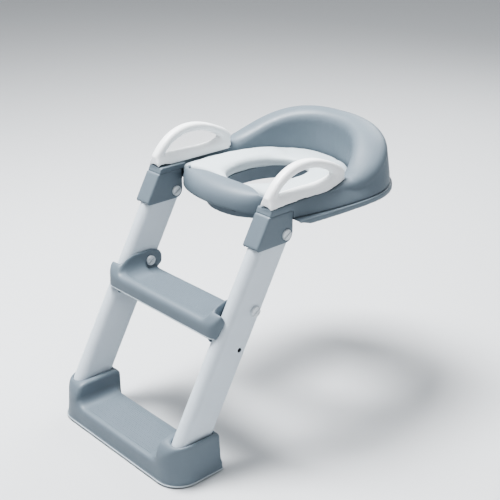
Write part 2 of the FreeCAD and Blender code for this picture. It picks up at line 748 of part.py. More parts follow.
def rounded_wire(half_x, y0, y1, front_r, z):
    """The bottom step's outline, with round front corners."""
    k = math.sqrt(0.5)
    cx, cy = half_x - front_r, y0 + front_r
    right = Part.Arc(Vector(cx, y0, z), Vector(cx + front_r * k, cy - front_r * k, z),
                     Vector(half_x, cy, z)).toShape()
    left = Part.Arc(Vector(-half_x, cy, z), Vector(-cx - front_r * k, cy - front_r * k, z),
                    Vector(-cx, y0, z)).toShape()
    corners = [Vector(half_x, cy, z), Vector(half_x, y1, z), Vector(-half_x, y1, z),
               Vector(-half_x, cy, z)]
    lines = [Part.makeLine(corners[i], corners[i + 1]) for i in range(3)]
    front = Part.makeLine(Vector(-cx, y0, z), Vector(cx, y0, z))
    return Part.Wire([right] + lines + [left, front])


foot_screw_places = [(side * leg_centre_x, tenon_y + dy) for side in (1, -1)
                     for dy in (-11.0, 11.0)]


def bottom_step():
    """The lower step: a low deck between two raised blocks that hold the legs."""
    skirt_z = foot_pad_drop
    shape = foot_form(0.0, skirt_z)
    lip_wire = rounded_wire(foot_half_width + foot_lip, foot_front_y - foot_lip, foot_rear_y,
                            foot_corner_r + foot_lip, skirt_z)
    lip = Part.Face(lip_wire).extrude(Vector(0, 0, foot_lip_height))
    notch = box(-foot_block_inner_x, foot_block_inner_x, foot_deck_rear_y, far, -1, far)
    shape = joined([shape, lip.cut(notch)])
    hollow = foot_form(foot_wall, 0.0)
    floor = box(-far, far, -far, far, socket_floor_z, socket_floor_z + foot_wall)
    keep_floor = joined([box(foot_block_inner_x, far, -far, far, 0, far),
                         box(-far, -foot_block_inner_x, -far, far, 0, far)])
    floor = floor.common(keep_floor)
    right_wall = leg_bar(step_leg_gap + foot_wall).cut(leg_bar(step_leg_gap))
    right_wall = right_wall.common(box(0, far, -far, far, leg_end_z - 8, foot_block_z))
    hollow = hollow.cut(floor).cut(right_wall).cut(mirrored(right_wall))
    shape = shape.cut(hollow)
    room = leg_bar(step_leg_gap).common(box(0, far, -far, far, leg_end_z - 0.5, far))
    shape = shape.cut(room).cut(mirrored(room))
    for x, y in foot_screw_places:
        shape = shape.cut(cyl_z(x, y, 0, socket_floor_z + foot_wall + 1, screw_r + screw_gap))
    pieces = sorted(shape.removeSplitter().Solids, key=lambda s: s.Volume)
    return pieces[-1]


def foot_pads():
    """The soft feet under the lower step."""
    pads = []
    for side in (1, -1):
        for y in (foot_front_y + 19.0, foot_rear_y - foot_pad_inset):
            x = side * (foot_half_width - 38.0)
            pads.append(box(x - 14, x + 14, y - 8, y + 8, 0, socket_floor_z))
    return Part.makeCompound(pads)


# ---- middle step --------------------------------------------------------------------
def middle_step():
    """The upper step: a ribbed deck with a front lip, ears and wraps round the legs."""
    front, rear = step_front_y, step_rear_y
    outer = rounded_plate(step_half_width, front, rear + 60, step_corner_r, 1.0,
                          step_bottom_z, ear_top_z)
    form = [(front - 1, step_bottom_z), (front, step_rim_z - 6), (front + 6, step_rim_z),
            (step_rim_back_y - 3, step_rim_z), (step_rim_back_y + 3, step_deck_z),
            (rear, step_deck_z), (rear, step_bottom_z)]
    wrap = [(front - 1, step_bottom_z), (front, step_rim_z - 6), (front + 3.5, step_rim_z + 1),
            (front + 10, step_rim_z + 10), (front + 16.5, step_rim_z + 15.5),
            (front + 25.5, step_rim_z + 1), (rear, step_rim_z + 1), (rear, step_bottom_z)]
    body = outer.common(prism_x(form, -far, far))
    middle = box(-ear_out_x, ear_out_x, front - 1, rear + 1, 0, far)
    sides = outer.common(prism_x(wrap, -far, far)).cut(middle)
    behind_front = box(-far, far, step_pin.y - leg_rear, far, 0, far)
    sides = sides.cut(behind_front)
    hollow_form = [(front + step_wall, step_bottom_z - 1),
                   (front + step_wall, step_rim_z - 6 - step_wall),
                   (front + 6, step_rim_z - step_wall),
                   (step_rim_back_y - 6, step_rim_z - step_wall),
                   (step_rim_back_y - 1, step_shell_z), (rear - step_wall, step_shell_z),
                   (rear - step_wall, step_bottom_z - 1)]
    hollow = prism_x(hollow_form, -ear_in_x + 1.0, ear_in_x - 1.0)
    ribs = []
    for i in range(-2, 3):
        ribs.append(box(i * 44.0 - 1.0, i * 44.0 + 1.0, front + 1, rear - 1,
                        step_bottom_z + 4.0, step_deck_z))
    hollow = hollow.cut(ribs)
    main = body.common(middle)
    ear = [(front + 1.5, step_bottom_z), (front + 1.5, step_rim_z - 3), (front + 11, 274.0),
           (front + 28, 284.5), (front + 46, ear_top_z), (ear_rear_y - 26, ear_top_z),
           (ear_rear_y - 8, 284.0), (ear_rear_y, 273.0), (ear_rear_y, 256.0),
           (rear, step_deck_z - 8), (rear, step_bottom_z)]
    lug = [(front + 4, step_bottom_z + 1), (front + 10, step_bottom_z - 13),
           (front + 17, step_bottom_z - 13), (front + 24, step_bottom_z + 1)]
    ears = []
    for x0, x1 in ((ear_in_x, ear_out_x), (-ear_out_x, -ear_in_x)):
        ears.append(prism_x(ear, x0, x1))
        ears.append(prism_x(lug, x0, x1))
    bank_end = step_pin.y - bolt_head_r - 4.0
    bank = [Vector(ear_in_x - x, front + 1.5, step_deck_z + z) for x, z in ear_bank]
    bank = Part.Face(Part.makePolygon(bank + bank[:1])).extrude(Vector(0, bank_end - front, 0))
    bank = bank.common(prism_x(ear, 0, far))
    fillet = [Vector(ear_in_x - x, front + 4.0, step_deck_z + z) for x, z in ear_fillet]
    fillet = Part.Face(Part.makePolygon(fillet + fillet[:1]))
    fillet = fillet.extrude(Vector(0, rear - front - 4.0, 0))
    ears += [bank, mirrored(bank), fillet, mirrored(fillet)]
    shape = joined([main, sides] + ears)
    shape = shape.cut(hollow)
    room = leg_bar(step_leg_gap)         # a leg with clearance, which the step wraps round
    shape = shape.cut(room).cut(mirrored(room))
    shape = shape.cut(cyl_x(-far, far, step_pin, bolt_r + fit_gap))
    pieces = sorted(shape.removeSplitter().Solids, key=lambda s: s.Volume)
    return pieces[-1]


# ---- writing the parts --------------------------------------------------------------
hinge_head_x = bracket_out_x - bolt_recess
hinge_nut_x = bracket_in_x + bolt_recess
stub = bolt_head_t - slot_depth - 0.8

right_parts = {
    "handle": handle(),
    "leg_bracket": bracket(),
    "hinge_bolt": slotted_bolt(hinge, hinge_head_x, hinge_nut_x, stub),
    "hinge_nut": cap_nut(hinge, hinge_nut_x, stub + 0.4),
    "hinge_bush": bush(hinge),
    "leg": leg(),
    "leg_plug": leg_plug(),
    "step_bolt": slotted_bolt(step_pin, leg_out_x + 0.2, ear_in_x, stub),
    "step_nut": cap_nut(step_pin, ear_in_x, stub + 0.4),
    "step_bush": bush(step_pin),
}

parts = {
    "seat_shell": seat_shell(),
    "seat_pan": seat_pan(),
    "seat_base_frame": seat_base_frame(),
    "front_guard": front_guard(),
    "seat_cushion": seat_cushion(),
    "rim_pads": rim_pads(),
    "seat_screws": screw_group(boss_places, ledge_z - shell_wall, ledge_z + 14.0),
    "bracket_screws": screw_group(bracket_screw_places, rib_z + screw_head_t + 0.6,
                                  arm_top_z - 6.0),
    "guard_screws": screw_group(guard_screw_places, ledge_z - shell_wall, ledge_z + 11.0),
    "handle_screws": screw_group(handle_screw_places, handle_boss_z, arm_top_z + 11.0),
    "bottom_step": bottom_step(),
    "foot_pads": foot_pads(),
    "foot_screws": screw_group(foot_screw_places, socket_floor_z, socket_floor_z + 17.0),
    "middle_step": middle_step(),
}
for name, shape in right_parts.items():
    parts[name + "_right"] = shape
    parts[name + "_left"] = mirrored(shape)

middle_y = (foot_front_y - foot_lip + seat_rear_y) / 2
for name, shape in parts.items():
    shape = shape.copy()
    shape.translate(Vector(0, -middle_y, 0))
    if not shape.isValid():
        raise ValueError(name + " is not a valid shape")
    shape.exportStep("parts/" + name + ".step")
    print("%-20s %2d solids %9.0f mm3" % (name, len(shape.Solids), shape.Volume))
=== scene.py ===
"""A potty training seat with a folding step ladder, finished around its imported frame."""
import json
import math

import bmesh
import bpy
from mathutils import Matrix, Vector, kdtree


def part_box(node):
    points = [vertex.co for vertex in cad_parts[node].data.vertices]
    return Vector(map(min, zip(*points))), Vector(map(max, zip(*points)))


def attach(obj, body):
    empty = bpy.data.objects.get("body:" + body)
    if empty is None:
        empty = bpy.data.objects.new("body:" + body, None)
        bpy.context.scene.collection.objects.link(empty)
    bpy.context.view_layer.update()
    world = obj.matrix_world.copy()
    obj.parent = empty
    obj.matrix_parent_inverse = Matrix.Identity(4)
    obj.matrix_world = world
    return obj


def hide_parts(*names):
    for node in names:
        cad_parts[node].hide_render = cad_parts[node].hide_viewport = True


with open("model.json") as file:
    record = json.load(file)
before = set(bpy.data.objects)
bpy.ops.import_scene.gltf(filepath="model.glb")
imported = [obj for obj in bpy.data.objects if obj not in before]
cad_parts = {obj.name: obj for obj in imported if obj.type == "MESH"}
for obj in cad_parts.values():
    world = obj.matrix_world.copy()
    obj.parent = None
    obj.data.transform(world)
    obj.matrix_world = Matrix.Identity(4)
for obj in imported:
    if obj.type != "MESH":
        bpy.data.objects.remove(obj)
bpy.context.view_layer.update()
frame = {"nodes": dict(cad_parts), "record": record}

bl_info = {
    "name": "Training seat with step ladder",
    "version": (1, 0, 0),
    "blender": (4, 5, 0),
    "location": "3D View > Sidebar > Training seat",
    "description": "Builds the visible pieces, materials and stage of a folding training seat",
    "category": "Add Mesh",
}

MM = 0.001


def lows(node):
    """The lowest corner of a node's box."""
    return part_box(node)[0]


def highs(node):
    """The highest corner of a node's box."""
    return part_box(node)[1]


# ---- sizes taken from the frame ------------------------------------------------------
HINGE_Y = (lows("hinge_bolt_right").y + highs("hinge_bolt_right").y) / 2
LEDGE_Z = lows("seat_shell").z
SEAT_HALF = highs("seat_base_frame").x
SEAT_REAR = highs("seat_base_frame").y - HINGE_Y
CREST_Z = highs("seat_shell").z
CUSHION_LOW, CUSHION_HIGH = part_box("seat_cushion")
BRACKET_LOW, BRACKET_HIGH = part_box("leg_bracket_right")


def named_input(name, kind, default, note, **more):
    """A bpy property with its name, note and default."""
    return kind(name=name, description=note, default=default, **more)


class TrainingSeatSizes(bpy.types.PropertyGroup):
    """Sizes of the finished pieces."""
    edge: named_input("Edge grain", bpy.props.FloatProperty, 1.2 * MM,
                      "Voxel size that the moulded pieces are rounded with",
                      unit="LENGTH", min=0.6 * MM, max=3 * MM)
    crown: named_input("Cushion crown", bpy.props.FloatProperty, 5 * MM,
                       "Most that the cushion swells", unit="LENGTH", min=0, max=12 * MM)
    stud: named_input("Grip stud", bpy.props.FloatProperty, 1.7 * MM,
                      "Width of a grip stud on the steps", unit="LENGTH")
    pitch: named_input("Grip pitch", bpy.props.FloatProperty, 4.2 * MM,
                       "Distance between two grip studs", unit="LENGTH")


class TrainingSeatColours(bpy.types.PropertyGroup):
    """Base colours of the finishes, as sRGB hex values."""
    shell: named_input("Shell", bpy.props.StringProperty, "7A858E", "Grey moulded polypropylene")
    # the lip colour is the shell's grey made paler, a painted highlight along the steps' lower
    # lips
    lip: named_input("Lip", bpy.props.StringProperty, "B4BDC3", "Lower lips of the steps")
    handle: named_input("Handle", bpy.props.StringProperty, "F1F3F4", "White handles")
    leg: named_input("Leg", bpy.props.StringProperty, "CBD3DA", "White legs")
    cap: named_input("Cap", bpy.props.StringProperty, "D2D7DB", "Slotted bolt caps")
    cushion: named_input("Cushion", bpy.props.StringProperty, "C3CCD0", "Soft cushion skin")
    rubber: named_input("Rubber", bpy.props.StringProperty, "565D64", "Pads and feet")
    steel: named_input("Steel", bpy.props.StringProperty, "B4B4B2", "Screws")
    floor: named_input("Floor", bpy.props.StringProperty, "D2D4D6", "Stage floor")


# ---- materials -----------------------------------------------------------------------
FLOW_MM = 45.0          # breadth of the mottle that the plastic's flow leaves
SPECK_MM = 4.0          # breadth of a patch that is a little glossier or duller
EDGE_WEAR_AND_HIGHLIGHT_MM = 1.4      # how far from an edge the plastic is paler: partly wear, partly a painted highlight
TURNING_MM = 0.8        # spacing of the turning marks on a screw head
PLASTIC_IOR = 1.49


def linear(hex_value, shade=1.0):
    """An sRGB hex value as a linear colour."""
    channels = [int(hex_value[i:i + 2], 16) / 255 for i in (0, 2, 4)]
    flat = [c / 12.92 if c <= 0.04045 else ((c + 0.055) / 1.055) ** 2.4 for c in channels]
    return tuple(min(1.0, c * shade) for c in flat) + (1.0,)


def add_node(tree, kind, settings=(), links=()):
    """Adds a node, sets its properties and sockets, and links its inputs."""
    node = tree.nodes.new(kind)
    for key, value in dict(settings).items():
        if isinstance(key, str) and hasattr(node, key):
            setattr(node, key, value)
        else:
            node.inputs[key].default_value = value
    for key, source in dict(links).items():
        tree.links.new(source, node.inputs[key])
    return node


def moulded_finish(name, hex_value, roughness, grain_mm, grain_depth, mottle=0.06,
                   wear_and_highlight=0.22, sheen=0.0, coat=0.0):
    """Moulded plastic: a fine eroded grain, a faint flow mottle, and paler edges that are partly
    wear and partly a painted highlight.
    """
    material = bpy.data.materials.new(name)
    material.use_nodes = True
    tree = material.node_tree
    shader = tree.nodes["Principled BSDF"]
    shader.inputs["IOR"].default_value = PLASTIC_IOR
    shader.inputs["Sheen Weight"].default_value = sheen
    shader.inputs["Coat Weight"].default_value = coat
    place = add_node(tree, "ShaderNodeTexCoord").outputs["Object"]
    flow = add_node(tree, "ShaderNodeTexNoise", {"Scale": 1 / (FLOW_MM * MM), "Detail": 3.0},
                    {"Vector": place})
    speck = add_node(tree, "ShaderNodeTexNoise", {"Scale": 1 / (SPECK_MM * MM), "Detail": 2.0},
                     {"Vector": place})
    tone = add_node(tree, "ShaderNodeMix", {"data_type": "RGBA"}, {0: flow.outputs["Fac"]})
    tone.inputs[6].default_value = linear(hex_value, 1 - mottle)
    tone.inputs[7].default_value = linear(hex_value, 1 + mottle)
    # edges: where the rounded normal leaves the true one, the plastic is painted paler, partly as
    # wear and partly as a painted highlight
    soft = add_node(tree, "ShaderNodeBevel", {"samples": 4, "Radius": EDGE_WEAR_AND_HIGHLIGHT_MM * MM})
    sharp = add_node(tree, "ShaderNodeNewGeometry")
    facing = add_node(tree, "ShaderNodeVectorMath", {"operation": "DOT_PRODUCT"},
                      {0: soft.outputs[0], 1: sharp.outputs["Normal"]})
    edge = add_node(tree, "ShaderNodeMapRange", {1: 0.995, 2: 0.90, 3: 0.0, 4: wear_and_highlight},
                    {0: facing.outputs["Value"]})
    pale = add_node(tree, "ShaderNodeMix", {"data_type": "RGBA"},
                    {0: edge.outputs[0], 6: tone.outputs[2]})
    # the paler edge tone: partly wear, partly a painted highlight
    pale.inputs[7].default_value = linear(hex_value, 1.45)
    tree.links.new(pale.outputs[2], shader.inputs["Base Color"])
    rough = add_node(tree, "ShaderNodeMapRange",
                     {1: 0.3, 2: 0.7, 3: roughness - 0.05, 4: roughness + 0.06},
                     {0: speck.outputs["Fac"]})
    tree.links.new(rough.outputs[0], shader.inputs["Roughness"])
    grain = add_node(tree, "ShaderNodeTexNoise", {"Scale": 1 / (grain_mm * MM), "Detail": 2.0,
                                                  "Roughness": 0.6}, {"Vector": place})
    bump = add_node(tree, "ShaderNodeBump", {"Strength": 0.5, "Distance": grain_depth * MM},
                    {"Height": grain.outputs["Fac"], "Normal": soft.outputs[0]})
    tree.links.new(bump.outputs[0], shader.inputs["Normal"])
    return material


def steel_finish(name, hex_value):
    """Zinc-plated steel: bright, with the fine turning marks of a screw head."""
    material = bpy.data.materials.new(name)
    material.use_nodes = True
    tree = material.node_tree
    shader = tree.nodes["Principled BSDF"]
    shader.inputs["Base Color"].default_value = linear(hex_value)
    shader.inputs["Metallic"].default_value = 1.0
    place = add_node(tree, "ShaderNodeTexCoord").outputs["Object"]
    marks = add_node(tree, "ShaderNodeTexNoise", {"Scale": 1 / (TURNING_MM * MM), "Detail": 3.0},
                     {"Vector": place})
    rough = add_node(tree, "ShaderNodeMapRange", {3: 0.28, 4: 0.46}, {0: marks.outputs["Fac"]})
    tree.links.new(rough.outputs[0], shader.inputs["Roughness"])
    bump = add_node(tree, "ShaderNodeBump", {"Strength": 0.3, "Distance": 0.04 * MM},
                    {"Height": marks.outputs["Fac"]})
    tree.links.new(bump.outputs[0], shader.inputs["Normal"])
    return material


def make_finishes(colours):
    """Every finish by the slot that it belongs to."""
    return {
        # injection-moulded polypropylene with a satin eroded skin: soft broad highlights
        "grey_shell": moulded_finish("polypropylene_grey_satin", colours.shell, 0.46, 1.1, 0.05),
        # the shell's own plastic made paler for the steps' lower lips: a painted highlight
        "grey_lip": moulded_finish("polypropylene_grey_burnished", colours.lip, 0.34, 1.1, 0.03),
        # the same plastic in white, a little glossier where hands polish it
        "white_handle": moulded_finish("polypropylene_white_satin", colours.handle, 0.38, 1.4,
                                       0.03, mottle=0.02, wear_and_highlight=0.05),
        # extruded white polypropylene: smooth and slightly waxy, with a thin clear gloss
        "white_leg": moulded_finish("polypropylene_white_waxy", colours.leg, 0.34, 2.0, 0.03,
                                    mottle=0.025, wear_and_highlight=0.06, coat=0.15),
        # moulded acetal caps: satin, a little grey, paler on the slot's edges, partly wear and
        # partly a painted highlight
        "white_cap": moulded_finish("acetal_cap_satin", colours.cap, 0.36, 1.0, 0.03,
                                    mottle=0.02, wear_and_highlight=0.12),
        # moulded polyurethane skin: matt, with a fine leather-like pebble
        "cushion": moulded_finish("polyurethane_skin_matt", colours.cushion, 0.55, 1.6, 0.12,
                                  mottle=0.02, wear_and_highlight=0.0, sheen=0.15),
        # thermoplastic rubber: dark and dull, it takes no highlight
        "pad_rubber": moulded_finish("thermoplastic_rubber_matt", colours.rubber, 0.72, 0.9,
                                     0.08, wear_and_highlight=0.05),
        # natural acetal bushes: pale and smooth, hidden in the joints
        "bush_plastic": moulded_finish("acetal_bush_natural", colours.cap, 0.4, 1.0, 0.02),
        # zinc-plated steel screws: bright with fine turning marks
        "screw_steel": steel_finish("steel_zinc_plated", colours.steel),
    }


FINISHES = {}


def finish_of(slot_name):
    """The finish of a material slot; all of them are made at the first call."""
    if not FINISHES:
        FINISHES.update(make_finishes(bpy.context.scene.training_seat_colours))
    return FINISHES[slot_name]


# ---- mesh helpers --------------------------------------------------------------------
def new_piece(name, mesh):
    """A new object in the scene."""
    piece = bpy.data.objects.new(name, mesh)
    bpy.context.scene.collection.objects.link(piece)
    return piece


def ring_mesh(name, rings, closed=False):
    """Joins rings of points into a closed skin, with a flat cap at each open end."""
    form = bmesh.new()
    rows = [[form.verts.new(p) for p in ring] for ring in rings]
    count = len(rows[0])
    spans = len(rows) if closed else len(rows) - 1
    for i in range(spans):
        a, b = rows[i], rows[(i + 1) % len(rows)]
        for j in range(count):
            k = (j + 1) % count
            form.faces.new((a[j], a[k], b[k], b[j]))
    if not closed:
        form.faces.new(rows[0])
        form.faces.new(rows[-1][::-1])
    bmesh.ops.recalc_face_normals(form, faces=form.faces)
    mesh = bpy.data.meshes.new(name)
    form.to_mesh(mesh)
    form.free()
    return mesh


def apply_modifiers(piece):
    """Turns a piece's modifiers into its mesh."""
    graph = bpy.context.evaluated_depsgraph_get()
    made = bpy.data.meshes.new_from_object(piece.evaluated_get(graph))
    old = piece.data
    piece.modifiers.clear()
    piece.data = made
    made.name = piece.name
    bpy.data.meshes.remove(old)
    piece.data.shade_smooth()


def finish_piece(piece, body, slot_name, *nodes):
    """Gives a piece its material, its body and the nodes that it stands for."""
    piece.data.materials.clear()
    piece.data.materials.append(finish_of(slot_name))
    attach(piece, body)
    if nodes:
        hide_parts(*nodes)


def round_off(piece, voxel, rounds, keep, soften=None, soft_rounds=0, reshape=None):
    """Rounds every edge of a closed form, and more where soften gives a weight."""
    grid = piece.modifiers.new("voxels", "REMESH")
    grid.mode = "VOXEL"
    grid.voxel_size = voxel
    grid.adaptivity = 0.0
    if soften or reshape:
        apply_modifiers(piece)
    if reshape:
        for vertex in piece.data.vertices:
            reshape(vertex.co)
    if soften:
        group = piece.vertex_groups.new(name="soften")
        for vertex in piece.data.vertices:
            group.add([vertex.index], soften(vertex.co), "REPLACE")
        extra = piece.modifiers.new("soften", "SMOOTH")
        extra.factor = 0.5
        extra.iterations = soft_rounds
        extra.vertex_group = "soften"
    relax = piece.modifiers.new("relax", "SMOOTH")
    relax.factor = 0.5
    relax.iterations = rounds
    thin = piece.modifiers.new("thin", "DECIMATE")
    thin.ratio = keep
    apply_modifiers(piece)


def moulded_copy(node, name, reshape=None):
    """A copy of a node's form, ready to be rounded off."""
    form = bmesh.new()
    form.from_mesh(frame["nodes"][node].data)
    bmesh.ops.remove_doubles(form, verts=form.verts, dist=0.01 * MM)
    if reshape:
        for vertex in form.verts:
            reshape(vertex.co)
    mesh = bpy.data.meshes.new(name)
    form.to_mesh(mesh)
    form.free()
    return new_piece(name, mesh)


def smooth_step(t):
    """A smooth rise from 0 to 1."""
    t = min(1.0, max(0.0, t))
    return t * t * (3 - 2 * t)


def at_hinge(x, y, z):
    """A point given from the hinge axis in X and Y and from the floor in Z, in mm."""
    return Vector((x * MM, HINGE_Y + y * MM, z * MM))


# ---- rim -----------------------------------------------------------------------------
# in mm, Y from the hinge axis and Z from the floor
RIM_STAND_IN = 4.0              # the rim stands in from the seat frame by this much
ARM_HALF, ARM_FRONT = 165.0, -34.0          # the flange's half width at the arms' front end
ARM_NOSE, ARM_DRAWN = 166.6, 4.0            # the arms' half width there, and where it ends
WIDE_Y = 165.0                  # where the seat is widest
ARM_INNER, ARM_TOP = 131.0, 440.0
POCKET_HALF, POCKET_MID, POCKET_REAR = 137.5, 88.0, 179.5   # the cushion's hollow
POCKET_POWER = 2.25             # exponent of the hollow's outline, 2 is an ellipse
REAR_POWER = 2.5                # exponent of the rear outline
ROLL_HEIGHT, ARM_ROLL = 23.0, 5.0           # the rolled crest, round the back and on the arms
ROLL_POWER, ROLL_TILT = 0.88, 4.0           # its squareness, and how far it falls inwards
HANDLE_SEAM = 436.5             # the handles' lower edge
BRACKET_TOP, BRACKET_REAR = 427.0, 15.5     # the arms step up over the brackets
NOSE_LOW, NOSE_FRONT, NOSE_REAR = 425.5, -37.6, 24.0        # the block at an arm's front end
NOSE_SLANT = 0.45               # how much its front leans back for each mm of height


def frame_half(y):
    """Half the width of the seat frame's flange beside an arm."""
    reach = WIDE_Y - (ARM_FRONT - 6.0)
    t = min(1.0, max(0.0, (y - (ARM_FRONT - 6.0)) / reach))
    return ARM_HALF + (SEAT_HALF / MM - ARM_HALF) * math.sin(t * math.pi / 2)


def arm_half(y):
    """Half the width over the arms, which draws in to the bracket towards the front."""
    t = min(1.0, max(0.0, (y - ARM_DRAWN) / (WIDE_Y - ARM_DRAWN)))
    return ARM_NOSE + (SEAT_HALF / MM - ARM_NOSE) * math.sin(t * math.pi / 2)


def rim_outer(station):
    """The rim's outer foot, from the arm's front (0) to the middle of the back (1)."""
    rear = SEAT_REAR / MM
    if station < 0.5:
        y = ARM_FRONT + (WIDE_Y - ARM_FRONT) * station * 2
        return arm_half(y) - RIM_STAND_IN, y
    a = (station - 0.5) * math.pi
    power = 2 / REAR_POWER
    x = (SEAT_HALF / MM - RIM_STAND_IN) * max(0.0, math.cos(a)) ** power
    return x, WIDE_Y + (rear - RIM_STAND_IN - WIDE_Y) * math.sin(a) ** power


def rim_inner(x, y):
    """The point of the cushion's pocket that faces an outer point."""
    if y <= POCKET_MID:
        blend = smooth_step(y / 58.0)
        return ARM_INNER + (POCKET_HALF - ARM_INNER) * blend, y
    dx, dy = x, y - POCKET_MID
    reach = (abs(dx) / POCKET_HALF) ** POCKET_POWER + (abs(dy) / POCKET_REAR) ** POCKET_POWER
    scale = reach ** (-1 / POCKET_POWER)
    return dx * scale, POCKET_MID + dy * scale


def rim_top(y):
    """The crest's height, level on the arms and then rising to the back."""
    lift = 8.0 * smooth_step((y - 110.0) / 45.0)
    share = smooth_step((y - 139.0) / 272.0)
    full = smooth_step((SEAT_REAR / MM - RIM_STAND_IN - 139.0) / 272.0)
    return ARM_TOP + lift + (CREST_Z / MM - ARM_TOP - 8.0) * share / full


def rim_lean(y):
    """How far the outer wall leans in up to the crest."""
    front = 2.0 + 16.0 * smooth_step(y / 100.0)
    return front + (7.0 - front) * smooth_step((y - 100.0) / 100.0)


def rim_ring(x, y, low):
    """A closed section of the rim: outer wall, broad rolled crest, concave inner wall."""
    inner_x, inner_y = rim_inner(x, y)
    span = math.hypot(x - inner_x, y - inner_y)
    ux, uy = (inner_x - x) / span, (inner_y - y) / span
    lean, top = rim_lean(y), rim_top(y)
    crest = span - 2.5 - lean
    roll = ARM_ROLL + (ROLL_HEIGHT - ARM_ROLL) * smooth_step((y - 110.0) / 70.0)
    points = [(0.0, low), (0.0, low + 1.5)]
    for t in (0.15, 0.35, 0.6, 0.82):
        points.append((lean * t ** 1.3, low + 1.5 + (top - roll - low - 1.5) * t))
    for i in range(15):
        a = math.pi * (1 - i / 14)
        c, s = math.cos(a), math.sin(a)
        across = lean + crest / 2 + crest / 2 * math.copysign(abs(c) ** ROLL_POWER, c)
        tilt = ROLL_TILT * (across - lean) / crest
        points.append((across, top - roll + roll * max(0.0, s) ** ROLL_POWER - tilt))
    start = points[-1]
    for t in (0.25, 0.5, 0.75, 0.9):
        points.append((start[0] + (span - start[0]) * t ** 1.6,
                       start[1] + (low + 3.0 - start[1]) * t))
    points += [(span, low + 3.0), (span, low)]
    return [at_hinge(x + ux * s, y + uy * s, z) for s, z in points]


# ---- operators -----------------------------------------------------------------------
class SeatRim(bpy.types.Operator):
    """Makes the rim: both arms and the raised back in one moulding."""
    bl_idname = "training_seat.rim"
    bl_label = "Rim"

    def execute(self, context):
        stations = 44
        step_up = [(arm_half(y) - RIM_STAND_IN, y)
                   for y in (BRACKET_REAR - 0.2, BRACKET_REAR + 0.2)]
        right = [rim_outer(i / stations) for i in range(stations)]
        right = sorted(right + step_up, key=lambda p: p[1])
        rear = [(0.0, SEAT_REAR / MM - RIM_STAND_IN)]
        rings = [rim_ring(x, y, BRACKET_TOP if y < BRACKET_REAR else LEDGE_Z / MM)
                 for x, y in right + rear]
        left = [[Vector((-p.x, p.y, p.z)) for p in ring] for ring in reversed(rings[:-1])]
        mesh = ring_mesh("seat_rim", rings + left)
        form = bmesh.new()
        form.from_mesh(mesh)
        for side in (1, -1):
            self.nose(form, side)
        bmesh.ops.recalc_face_normals(form, faces=form.faces)
        form.to_mesh(mesh)
        form.free()
        piece = new_piece("seat_rim", mesh)
        round_off(piece, 1.5 * MM, 8, 0.4)
        finish_piece(piece, "seat", "grey_shell", "seat_shell")
        return {"FINISHED"}

    def nose(self, form, side):
        """The arm's front, which carries the bracket's faces up to the handle."""
        low, high = NOSE_LOW, HANDLE_SEAM
        half = (BRACKET_HIGH.x - BRACKET_LOW.x) / 2 / MM - 0.6
        centre = (BRACKET_HIGH.x + BRACKET_LOW.x) / 2 / MM
        corners = []
        for z, front in ((low, NOSE_FRONT), (high, NOSE_FRONT + (high - low) * NOSE_SLANT)):
            for x, y in ((-half, front), (half, front), (half, NOSE_REAR), (-half, NOSE_REAR)):
                corners.append(form.verts.new(at_hinge(side * (centre + x), y, z)))
        for face in ((0, 1, 2, 3), (4, 5, 6, 7), (0, 1, 5, 4), (1, 2, 6, 5), (2, 3, 7, 6),
                     (3, 0, 4, 7)):
            form.faces.new([corners[i] for i in face])


GUARD_HALF, GUARD_DEPTH, GUARD_MID = 131.0, 68.0, 40.0      # the ellipse of the guard's foot
RIDGE_HALF, RIDGE_Y, RIDGE_Z = 117.0, 13.0, 441.5           # its ridge, in the middle
GUARD_SWEEP = 0.985             # how much of the foot's half ellipse the guard takes up
GUARD_THICK = 3.2               # from the ridge to the rear face


class SeatGuard(bpy.types.Operator):
    """Makes the rounded splash guard at the front of the seat."""
    bl_idname = "training_seat.guard"
    bl_label = "Front guard"

    def execute(self, context):
        low = lows("front_guard").z / MM
        rings = []
        count = 44
        for i in range(-count, count + 1):
            t = math.asin(GUARD_SWEEP) * i / count
            foot_x = GUARD_HALF * math.sin(t)
            foot_y = GUARD_MID - GUARD_DEPTH * math.cos(t)
            # the ridge swings forward and drops towards both ends
            top_x = RIDGE_HALF * math.sin(t) / GUARD_SWEEP
            top_y = RIDGE_Y - 23.0 * max(0.0, (abs(top_x) - 50.0) / 63.0) ** 1.8
            top_y = max(top_y, foot_y + 3.0)
            top_z = RIDGE_Z - 7.0 * abs(top_x / 113.0) ** 4
            rear_y = top_y + GUARD_THICK
            ring = [(foot_x, foot_y, low), (foot_x, foot_y, low + 3)]
            for k in range(1, 11):
                a = math.radians(9 * k)
                out, up = math.cos(a) ** 0.8, math.sin(a) ** 0.8
                ring.append((top_x + (foot_x - top_x) * out, top_y + (foot_y - top_y) * out,
                             low + 3 + (top_z - low - 3) * up))
            ring += [(top_x, rear_y - 0.9, top_z - 0.5), (top_x, rear_y, top_z - 2.0),
                     (top_x, rear_y, (top_z + low) / 2), (top_x, rear_y, low)]
            rings.append([at_hinge(*p) for p in ring])
        piece = new_piece("splash_guard", ring_mesh("splash_guard", rings))
        fine = piece.modifiers.new("fine", "SUBSURF")
        fine.levels = fine.render_levels = 1
        apply_modifiers(piece)
        finish_piece(piece, "seat", "grey_shell", "front_guard")
        return {"FINISHED"}


PAD_GAP, PAD_RISE = 0.6, 5.0    # room beside the pad, and how far it may swell upwards
SWELL_PRESSURE, SWELL_STEPS = 4.0, 20


